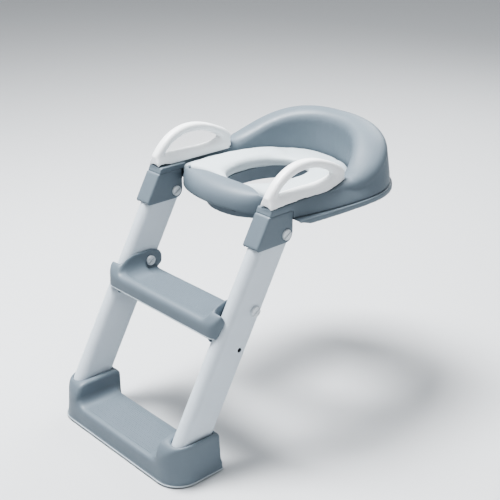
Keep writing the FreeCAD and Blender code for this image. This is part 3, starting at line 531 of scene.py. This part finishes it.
class SeatCushion(bpy.types.Operator):
    """Makes the soft cushion: a crowned horseshoe pad, swollen by a cloth simulation."""
    bl_idname = "training_seat.cushion"
    bl_label = "Cushion"

    def execute(self, context):
        sizes = context.scene.training_seat_sizes
        form = bmesh.new()
        form.from_mesh(frame["nodes"]["seat_cushion"].data)
        bmesh.ops.remove_doubles(form, verts=form.verts, dist=0.01 * MM)
        mesh = bpy.data.meshes.new("seat_pad")
        form.to_mesh(mesh)
        form.free()
        piece = new_piece("seat_pad", mesh)
        grid = piece.modifiers.new("voxels", "REMESH")
        grid.mode = "VOXEL"
        grid.voxel_size = 4.0 * MM
        relax = piece.modifiers.new("relax", "SMOOTH")
        relax.factor = 0.5
        relax.iterations = 6
        apply_modifiers(piece)
        self.swell(piece, sizes.crown)
        fine = piece.modifiers.new("fine", "SUBSURF")
        fine.levels = fine.render_levels = 1
        apply_modifiers(piece)
        self.settle(piece)
        finish_piece(piece, "seat", "cushion", "seat_cushion")
        return {"FINISHED"}

    def swell(self, piece, most):
        """Lets the skin swell under pressure, and caps how far it moves."""
        before = [v.co.copy() for v in piece.data.vertices]
        cloth = piece.modifiers.new("cloth", "CLOTH")
        cloth.settings.use_pressure = True
        cloth.settings.uniform_pressure_force = SWELL_PRESSURE
        cloth.settings.effector_weights.gravity = 0.0
        cloth.settings.quality = 4
        for step in range(1, SWELL_STEPS + 1):
            bpy.context.scene.frame_set(step)
        graph = bpy.context.evaluated_depsgraph_get()
        moved = [v.co.copy() for v in piece.evaluated_get(graph).data.vertices]
        piece.modifiers.clear()
        bpy.context.scene.frame_set(1)
        for vertex, old, new in zip(piece.data.vertices, before, moved):
            step = new - old
            if step.length > most:
                step *= most / step.length
            vertex.co = old + step
        ease = bmesh.new()
        ease.from_mesh(piece.data)
        for _ in range(6):
            bmesh.ops.smooth_vert(ease, verts=ease.verts, factor=0.5, use_axis_x=True,
                                  use_axis_y=True, use_axis_z=True)
        ease.to_mesh(piece.data)
        ease.free()

    def settle(self, piece):
        """Keeps the pad inside its pocket: flat below, clear of the walls around it."""
        half, rear = POCKET_HALF - PAD_GAP, POCKET_REAR - PAD_GAP
        for vertex in piece.data.vertices:
            p = vertex.co
            p.z = min(max(p.z, CUSHION_LOW.z), CUSHION_HIGH.z + PAD_RISE * MM)
            x, y = p.x / MM, (p.y - HINGE_Y) / MM
            if y > POCKET_MID:
                reach = ((abs(x) / half) ** POCKET_POWER
                         + (abs(y - POCKET_MID) / rear) ** POCKET_POWER) ** (1 / POCKET_POWER)
                if reach > 1:
                    p.x = x / reach * MM
                    p.y = HINGE_Y + (POCKET_MID + (y - POCKET_MID) / reach) * MM
            else:
                limit = rim_inner(x, y)[0] - PAD_GAP
                p.x = math.copysign(min(abs(x), limit), x) * MM


LOOP_WIDTH, LOOP_EDGE = 0.78, 0.22          # shares of the base strip's width: middle and edge
STRIP_TOP, LOOP_BLEND = 440.0, 16.0         # Z where the loop's section begins, and how soon


class SeatHandles(bpy.types.Operator):
    """Makes both handles: a slender loop on a broad base strip."""
    bl_idname = "training_seat.handles"
    bl_label = "Handles"

    def execute(self, context):
        for side in ("right", "left"):
            name = "handle_" + side
            low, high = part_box(name)
            middle = (low.x + high.x) / 2
            outer, inner = self.outlines(name, middle)

            def slim(p):
                """Rounds the loop's section above its base strip, and lifts the seam."""
                flat = Vector((0.0, p.y, p.z))
                to_outer, to_inner = outer.find(flat)[2], inner.find(flat)[2]
                across = (to_outer - to_inner) / max(to_outer + to_inner, MM)
                roundness = max(0.0, 1 - abs(across) ** 2.2) ** 0.5
                share = smooth_step((p.z / MM - STRIP_TOP) / LOOP_BLEND)
                width = LOOP_EDGE + (LOOP_WIDTH - LOOP_EDGE) * roundness
                p.x = middle + (p.x - middle) * (1 - share * (1 - width))
                p.z = max(p.z, HANDLE_SEAM * MM)

            piece = moulded_copy(name, "grab_" + name)
            round_off(piece, 1.0 * MM, 0, 1.0, reshape=slim)
            round_off(piece, 1.0 * MM, 12, 0.5)
            finish_piece(piece, "seat", "white_handle", name)
        return {"FINISHED"}

    def outlines(self, name, middle):
        """Search trees of the loop's outer and inner outline, seen from the side."""
        form = bmesh.new()
        form.from_mesh(frame["nodes"][name].data)
        bmesh.ops.remove_doubles(form, verts=form.verts, dist=0.01 * MM)
        seams = [e for e in form.edges if len(e.link_faces) == 2
                 and sum(f.normal.x > 0.9 for f in e.link_faces) == 1
                 and min(v.co.x for v in e.verts) > middle]
        loops = []
        while seams:
            chain, reached = [seams.pop()], set()
            reached.update(chain[0].verts)
            grown = True
            while grown:
                near = [e for e in seams if e.verts[0] in reached or e.verts[1] in reached]
                grown = bool(near)
                for edge in near:
                    reached.update(edge.verts)
                    seams.remove(edge)
                    chain.append(edge)
            loops.append(chain)
        loops.sort(key=lambda chain: -max(v.co.z for e in chain for v in e.verts))
        trees = []
        for chain in loops[:2]:
            places = []
            for edge in chain:
                a, b = (v.co for v in edge.verts)
                steps = max(1, int((a - b).length / MM))
                places += [a.lerp(b, i / steps) for i in range(steps + 1)]
            tree = kdtree.KDTree(len(places))
            for i, p in enumerate(places):
                tree.insert((0.0, p.y, p.z), i)
            tree.balance()
            trees.append(tree)
        form.free()
        return trees


class LegBrackets(bpy.types.Operator):
    """Makes both hinge brackets with the soft corners of their mouldings."""
    bl_idname = "training_seat.brackets"
    bl_label = "Leg brackets"

    def execute(self, context):
        for side in ("right", "left"):
            name = "leg_bracket_" + side
            piece = moulded_copy(name, "hinge_sleeve_" + side)
            round_off(piece, 1.2 * MM, 40, 0.5)
            finish_piece(piece, "seat", "grey_shell", name)
        return {"FINISHED"}


FLANGE_THICK, FLANGE_THINNED = 12.0, 8.5    # the flange, and how much its front end thins


class SeatFrame(bpy.types.Operator):
    """Makes the seat frame with its rounded flange and bowl collar."""
    bl_idname = "training_seat.frame"
    bl_label = "Seat frame"

    def execute(self, context):
        def draw_in(p):
            """Brings the flange in with the arm above it, and thins its front end."""
            y = (p.y - HINGE_Y) / MM
            share = smooth_step((abs(p.x) / MM - 140.0) / 25.0)
            p.x += math.copysign((arm_half(y) - frame_half(y)) * share * MM, p.x)
            thinning = FLANGE_THINNED * share * (1 - smooth_step((y - 15.0) / 36.0))
            if p.z > LEDGE_Z - (FLANGE_THICK + 2) * MM:
                p.z = max(p.z, LEDGE_Z + (thinning - FLANGE_THICK) * MM)

        piece = moulded_copy("seat_base_frame", "seat_frame")
        round_off(piece, 1.6 * MM, 3, 0.45, reshape=draw_in)
        finish_piece(piece, "seat", "grey_shell", "seat_base_frame")
        return {"FINISHED"}


VALLEY_RADIUS, BLOCK_WALL = 16.0, 115.0     # fillet beside the lower deck, and its block's wall
LOWER_DECK, UPPER_DECK = 35.0, 252.0


class LadderSteps(bpy.types.Operator):
    """Makes both steps with the rounded edges of their mouldings."""
    bl_idname = "training_seat.steps"
    bl_label = "Steps"

    def execute(self, context):
        edge = context.scene.training_seat_sizes.edge
        upper = moulded_copy("middle_step", "upper_tread")
        round_off(upper, edge, 8, 0.4, self.upper_top, 110)
        finish_piece(upper, "upper_step", "grey_shell", "middle_step")
        lower = moulded_copy("bottom_step", "lower_tread")
        round_off(lower, edge * 1.15, 8, 0.4, self.lower_top, 130, self.valley)
        finish_piece(lower, "ladder", "grey_shell", "bottom_step")
        return {"FINISHED"}

    def upper_top(self, p):
        """How much an upper step's point is softened: none along its lower edge."""
        return smooth_step((p.z / MM - 240.0) / 8.0)

    def lower_top(self, p):
        """How much a lower step's point is softened: none along its lower edge."""
        return smooth_step((p.z / MM - 14.0) / 12.0)

    def valley(self, p):
        """Fills the corner where the lower deck meets a block with a broad fillet."""
        radius, away = VALLEY_RADIUS, BLOCK_WALL - abs(p.x) / MM
        if 0 <= away < radius:
            level = LOWER_DECK + radius - math.sqrt(radius ** 2 - (radius - away) ** 2)
            if LOWER_DECK - 0.8 < p.z / MM < level:
                p.z = level * MM


# ---- geometry nodes ------------------------------------------------------------------
def new_node_tree(name, inputs):
    """A geometry node tree with named inputs and one geometry output."""
    tree = bpy.data.node_groups.new(name, "GeometryNodeTree")
    tree.interface.new_socket("Geometry", in_out="INPUT", socket_type="NodeSocketGeometry")
    for label, default in inputs:
        socket = tree.interface.new_socket(label, in_out="INPUT", socket_type="NodeSocketFloat")
        socket.default_value = default
    tree.interface.new_socket("Geometry", in_out="OUTPUT", socket_type="NodeSocketGeometry")
    return tree


def close_tree(tree, geometry, material):
    """Ends a tree in Realize Instances and Set Material."""
    real = add_node(tree, "GeometryNodeRealizeInstances", links={"Geometry": geometry})
    dressed = add_node(tree, "GeometryNodeSetMaterial", {"Material": material},
                       {"Geometry": real.outputs["Geometry"]})
    out = add_node(tree, "NodeGroupOutput")
    tree.links.new(dressed.outputs["Geometry"], out.inputs[0])


def grown_piece(name, places, tree, values, edges=()):
    """A plain mesh that a node tree grows on a set of points or along a line."""
    mesh = bpy.data.meshes.new(name)
    mesh.from_pydata([tuple(p) for p in places], list(edges), [])
    piece = new_piece(name, mesh)
    grower = piece.modifiers.new("grow", "NODES")
    grower.node_group = tree
    for item in tree.interface.items_tree:
        if item.in_out == "INPUT" and item.name in values:
            grower[item.identifier] = values[item.name]
    apply_modifiers(piece)
    piece.data.shade_flat()
    return piece


def stud_tree():
    """Low round studs, one on each point."""
    tree = new_node_tree("grip_studs", (("Stud Width", 1.7 * MM), ("Stud Height", 0.4 * MM)))
    given = add_node(tree, "NodeGroupInput")
    foot = add_node(tree, "ShaderNodeMath", {"operation": "MULTIPLY", 1: 0.5},
                    {0: given.outputs["Stud Width"]})
    crown = add_node(tree, "ShaderNodeMath", {"operation": "MULTIPLY", 1: 0.28},
                     {0: given.outputs["Stud Width"]})
    stud = add_node(tree, "GeometryNodeMeshCone", {"Vertices": 7},
                    {"Radius Top": crown.outputs[0], "Radius Bottom": foot.outputs[0],
                     "Depth": given.outputs["Stud Height"]})
    laid = add_node(tree, "GeometryNodeInstanceOnPoints",
                    links={"Points": given.outputs["Geometry"], "Instance": stud.outputs["Mesh"]})
    close_tree(tree, laid.outputs["Instances"], finish_of("grey_shell"))
    return tree


def bead_tree():
    """A round bead that follows a line."""
    tree = new_node_tree("edge_bead", (("Bead Radius", 1.2 * MM),))
    given = add_node(tree, "NodeGroupInput")
    line = add_node(tree, "GeometryNodeMeshToCurve", links={"Mesh": given.outputs["Geometry"]})
    section = add_node(tree, "GeometryNodeCurvePrimitiveCircle", {"Resolution": 10},
                       {"Radius": given.outputs["Bead Radius"]})
    swept = add_node(tree, "GeometryNodeCurveToMesh", {"Fill Caps": True},
                     {"Curve": line.outputs["Curve"], "Profile Curve": section.outputs["Curve"]})
    # the bead takes the paler lip finish, a painted highlight on the lip
    close_tree(tree, swept.outputs["Mesh"], finish_of("grey_lip"))
    return tree


def front_line(half_x, front, radius, rear, z):
    """The outline of a step's front, from its right rear end round to the left one."""
    right = [] if rear <= front + radius else [(half_x, rear)]
    for i in range(13):
        a = math.radians(-90 * i / 12)
        x = half_x - radius + radius * math.cos(a)
        y = front + radius + radius * math.sin(a)
        if y <= rear:
            right.append((x, y))
    left = [(-x, y) for x, y in reversed(right)]
    return [at_hinge(x, y, z) for x, y in right + left]


HEAD_HEIGHT = 2.4 * MM
CROSS_LONG, CROSS_WIDE, CROSS_DEEP = 4.6 * MM, 0.9 * MM, 2.6 * MM   # a screw's cross recess


def screw_tree():
    """Pan-head screws with a cross recess, head down, one on each point."""
    tree = new_node_tree("pan_screws", (("Head Radius", 3.9 * MM), ("Head Height", HEAD_HEIGHT),
                                        ("Shank Radius", 1.9 * MM), ("Shank Length", 8 * MM)))
    given = add_node(tree, "NodeGroupInput")
    head = add_node(tree, "GeometryNodeMeshCone", {"Vertices": 28},
                    {"Radius Top": given.outputs["Head Radius"],
                     "Depth": given.outputs["Head Height"]})
    narrow = add_node(tree, "ShaderNodeMath", {"operation": "MULTIPLY", 1: 0.86},
                      {0: given.outputs["Head Radius"]})
    tree.links.new(narrow.outputs[0], head.inputs["Radius Bottom"])
    shank = add_node(tree, "GeometryNodeMeshCylinder", {"Vertices": 16},
                     {"Radius": given.outputs["Shank Radius"],
                      "Depth": given.outputs["Shank Length"]})
    half = add_node(tree, "ShaderNodeMath", {"operation": "MULTIPLY", 1: 0.5},
                    {0: given.outputs["Shank Length"]})
    rise = add_node(tree, "ShaderNodeMath", {"operation": "ADD"},
                    {0: half.outputs[0], 1: given.outputs["Head Height"]})
    raised = add_node(tree, "ShaderNodeCombineXYZ", links={"Z": rise.outputs[0]})
    lifted = add_node(tree, "GeometryNodeTransform",
                      links={"Geometry": shank.outputs["Mesh"], "Translation": raised.outputs[0]})
    arms = []
    for size in ((CROSS_LONG, CROSS_WIDE, CROSS_DEEP), (CROSS_WIDE, CROSS_LONG, CROSS_DEEP)):
        arms.append(add_node(tree, "GeometryNodeMeshCube", {"Size": size}))
    recess = add_node(tree, "GeometryNodeMeshBoolean", {"operation": "DIFFERENCE"},
                      {"Mesh 1": head.outputs["Mesh"]})
    for arm in arms:
        tree.links.new(arm.outputs["Mesh"], recess.inputs["Mesh 2"])
    whole = add_node(tree, "GeometryNodeJoinGeometry")
    tree.links.new(recess.outputs["Mesh"], whole.inputs[0])
    tree.links.new(lifted.outputs["Geometry"], whole.inputs[0])
    laid = add_node(tree, "GeometryNodeInstanceOnPoints",
                    links={"Points": given.outputs["Geometry"], "Instance": whole.outputs[0]})
    close_tree(tree, laid.outputs["Instances"], finish_of("screw_steel"))
    return tree


def solid_boxes(node):
    """The box of each separate solid of a node."""
    form = bmesh.new()
    form.from_mesh(frame["nodes"][node].data)
    bmesh.ops.remove_doubles(form, verts=form.verts, dist=0.01 * MM)
    seen, boxes = set(), []
    for start in form.verts:
        if start in seen:
            continue
        seen.add(start)
        group, queue = [], [start]
        while queue:
            vertex = queue.pop()
            group.append(vertex.co.copy())
            for edge in vertex.link_edges:
                other = edge.other_vert(vertex)
                if other not in seen:
                    seen.add(other)
                    queue.append(other)
        low = Vector(min(c[i] for c in group) for i in range(3))
        high = Vector(max(c[i] for c in group) for i in range(3))
        boxes.append((low, high))
    form.free()
    return boxes


STUD_SUNK = 0.06                # how far a stud stands in the deck
STUD_FIELDS = (                 # piece, body, half width, front and rear Y, and the deck's Z
    ("upper_grip_studs", "upper_step", 98.0, -120.0, -60.0, UPPER_DECK),
    ("lower_grip_studs", "ladder", 100.0, -244.0, -170.0, LOWER_DECK))
BEAD_LINES = (                  # piece, body, half width, front, corner, rear, Z and radius
    ("upper_edge_bead", "upper_step", 153.6, -149.8, 22.0, -143.5, 237.0, 1.1),
    ("lower_edge_bead", "ladder", 173.3, -258.2, 44.0, -154.0, 3.2, 1.5))


class GripStuds(bpy.types.Operator):
    """Makes the fine grip studs on both treads."""
    bl_idname = "training_seat.studs"
    bl_label = "Grip studs"

    def execute(self, context):
        sizes = context.scene.training_seat_sizes
        tree = stud_tree()
        for name, body, half_x, front, rear, z in STUD_FIELDS:
            places = []
            rows = int((rear - front) * MM / sizes.pitch)
            columns = int(2 * half_x * MM / sizes.pitch)
            for row in range(rows + 1):
                shift = 0.5 * (row % 2)
                for column in range(columns):
                    x = -half_x + (column + shift + 0.5) * sizes.pitch / MM
                    y = front + row * sizes.pitch / MM
                    places.append(at_hinge(x, y, z - STUD_SUNK))
            piece = grown_piece(name, places, tree, {"Stud Width": sizes.stud})
            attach(piece, body)
        return {"FINISHED"}


class EdgeBeads(bpy.types.Operator):
    """Makes the thin rounded lip along the lower edge of both steps."""
    bl_idname = "training_seat.beads"
    bl_label = "Edge beads"

    def execute(self, context):
        tree = bead_tree()
        for name, body, half_x, front, corner, rear, z, radius in BEAD_LINES:
            line = front_line(half_x, front, corner, rear, z)
            edges = [(i, i + 1) for i in range(len(line) - 1)]
            piece = grown_piece(name, line, tree, {"Bead Radius": radius * MM}, edges)
            piece.data.shade_smooth()
            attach(piece, body)
        return {"FINISHED"}


class PanScrews(bpy.types.Operator):
    """Makes the steel screws that show from below."""
    bl_idname = "training_seat.screws"
    bl_label = "Screws"

    def execute(self, context):
        tree = screw_tree()
        for node, body in (("seat_screws", "seat"), ("bracket_screws", "seat"),
                           ("guard_screws", "seat"), ("handle_screws", "seat"),
                           ("foot_screws", "ladder")):
            boxes = solid_boxes(node)
            places = [((low.x + high.x) / 2, (low.y + high.y) / 2, low.z) for low, high in boxes]
            low, high = boxes[0]
            length = high.z - low.z - HEAD_HEIGHT
            piece = grown_piece("pan_" + node, places, tree, {"Shank Length": length})
            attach(piece, body)
            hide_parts(node)
        return {"FINISHED"}


class CarriedFinishes(bpy.types.Operator):
    """Gives every frame part that stays visible its own finish."""
    bl_idname = "training_seat.finishes"
    bl_label = "Finishes of the carried parts"

    def execute(self, context):
        slots = {row["node"]: row["material_slot"] for row in frame["record"]["subparts"]}
        for part in frame["nodes"].values():
            if part.hide_render:
                continue
            slot_name = slots[part.name]
            part.data.materials.clear()
            part.data.materials.append(finish_of(slot_name))
        return {"FINISHED"}


FLOOR_REACH, FLOOR_DROP = 25.0, 0.2 * MM    # in metres; the floor lies just under the feet
LIGHTS = (                      # name, place, size and power of each softbox
    ("key", (-0.7, -0.4, 2.7), 1.0, 74.0),
    ("fill", (2.2, -0.9, 1.4), 1.6, 7.0),
    ("rear", (-0.6, 2.0, 1.9), 1.4, 14.0))
LIGHTS_AIM = (0.0, 0.0, 0.28)
SKY_COLOUR, SKY_STRENGTH = (0.95, 0.975, 1.0, 1.0), 0.30
EXPOSURE = 0.38
LENS, SENSOR = 72.03, 36.0      # in mm
CAMERA_PLACE = (1.2468, -1.1122, 1.0193)
CAMERA_AZIMUTH, CAMERA_PITCH = 47.42, -23.37                # in degrees


class Stage(bpy.types.Operator):
    """Makes the pale floor, the soft studio lights and the camera."""
    bl_idname = "training_seat.stage"
    bl_label = "Stage"

    def execute(self, context):
        scene = context.scene
        self.floor(scene)
        self.lights(scene)
        self.camera(scene)
        return {"FINISHED"}

    def floor(self, scene):
        mesh = bpy.data.meshes.new("studio_floor")
        far, low = FLOOR_REACH, -FLOOR_DROP
        mesh.from_pydata([(-far, -far, low), (far, -far, low), (far, far, low), (-far, far, low)],
                         [], [(0, 1, 2, 3)])
        floor = new_piece("studio_floor", mesh)
        finish = bpy.data.materials.new("studio_floor_matt")
        finish.use_nodes = True
        shader = finish.node_tree.nodes["Principled BSDF"]
        shader.inputs["Base Color"].default_value = linear(scene.training_seat_colours.floor)
        shader.inputs["Roughness"].default_value = 0.8
        mesh.materials.append(finish)

    def lights(self, scene):
        world = bpy.data.worlds.new("studio_air")
        world.use_nodes = True
        sky = world.node_tree.nodes["Background"]
        sky.inputs["Color"].default_value = SKY_COLOUR
        sky.inputs["Strength"].default_value = SKY_STRENGTH
        scene.world = world
        scene.view_settings.view_transform = "AgX"
        scene.view_settings.look = "AgX - Very High Contrast"
        scene.view_settings.exposure = EXPOSURE
        for name, place, size, power in LIGHTS:
            light = bpy.data.lights.new(name + "_softbox", "AREA")
            light.energy = power
            light.size = size
            lamp = bpy.data.objects.new(name + "_softbox", light)
            lamp.location = place
            aim = Vector(LIGHTS_AIM) - Vector(place)
            lamp.rotation_euler = aim.to_track_quat("-Z", "Y").to_euler()
            scene.collection.objects.link(lamp)

    def camera(self, scene):
        lens = bpy.data.cameras.new("view_camera")
        lens.lens = LENS
        lens.sensor_width = SENSOR
        camera = bpy.data.objects.new("view_camera", lens)
        azimuth, pitch = math.radians(CAMERA_AZIMUTH), math.radians(CAMERA_PITCH)
        camera.location = CAMERA_PLACE
        look = Vector((-math.sin(azimuth) * math.cos(pitch), math.cos(azimuth) * math.cos(pitch),
                       math.sin(pitch)))
        camera.rotation_euler = look.to_track_quat("-Z", "Y").to_euler()
        scene.collection.objects.link(camera)
        scene.camera = camera


class TrainingSeatPanel(bpy.types.Panel):
    """Lists the pieces in the sidebar."""
    bl_idname = "VIEW3D_PT_training_seat"
    bl_label = "Training seat"
    bl_space_type = "VIEW_3D"
    bl_region_type = "UI"
    bl_category = "Training seat"

    def draw(self, context):
        for group in (context.scene.training_seat_sizes, context.scene.training_seat_colours):
            for key in group.__annotations__:
                self.layout.prop(group, key)
        for maker in MAKERS:
            self.layout.operator(maker.bl_idname)


MAKERS = (Stage, SeatRim, SeatFrame, LegBrackets, SeatGuard, SeatCushion, SeatHandles,
          LadderSteps, GripStuds, EdgeBeads, PanScrews, CarriedFinishes)
CLASSES = (TrainingSeatSizes, TrainingSeatColours) + MAKERS + (TrainingSeatPanel,)


def register():
    for item in CLASSES:
        bpy.utils.register_class(item)
    bpy.types.Scene.training_seat_sizes = bpy.props.PointerProperty(type=TrainingSeatSizes)
    bpy.types.Scene.training_seat_colours = bpy.props.PointerProperty(type=TrainingSeatColours)


def unregister():
    del bpy.types.Scene.training_seat_sizes
    del bpy.types.Scene.training_seat_colours
    for item in reversed(CLASSES):
        bpy.utils.unregister_class(item)


def main():
    register()
    for maker in MAKERS:
        group, name = maker.bl_idname.split(".")
        getattr(getattr(bpy.ops, group), name)()


if __name__ == "__main__":
    main()
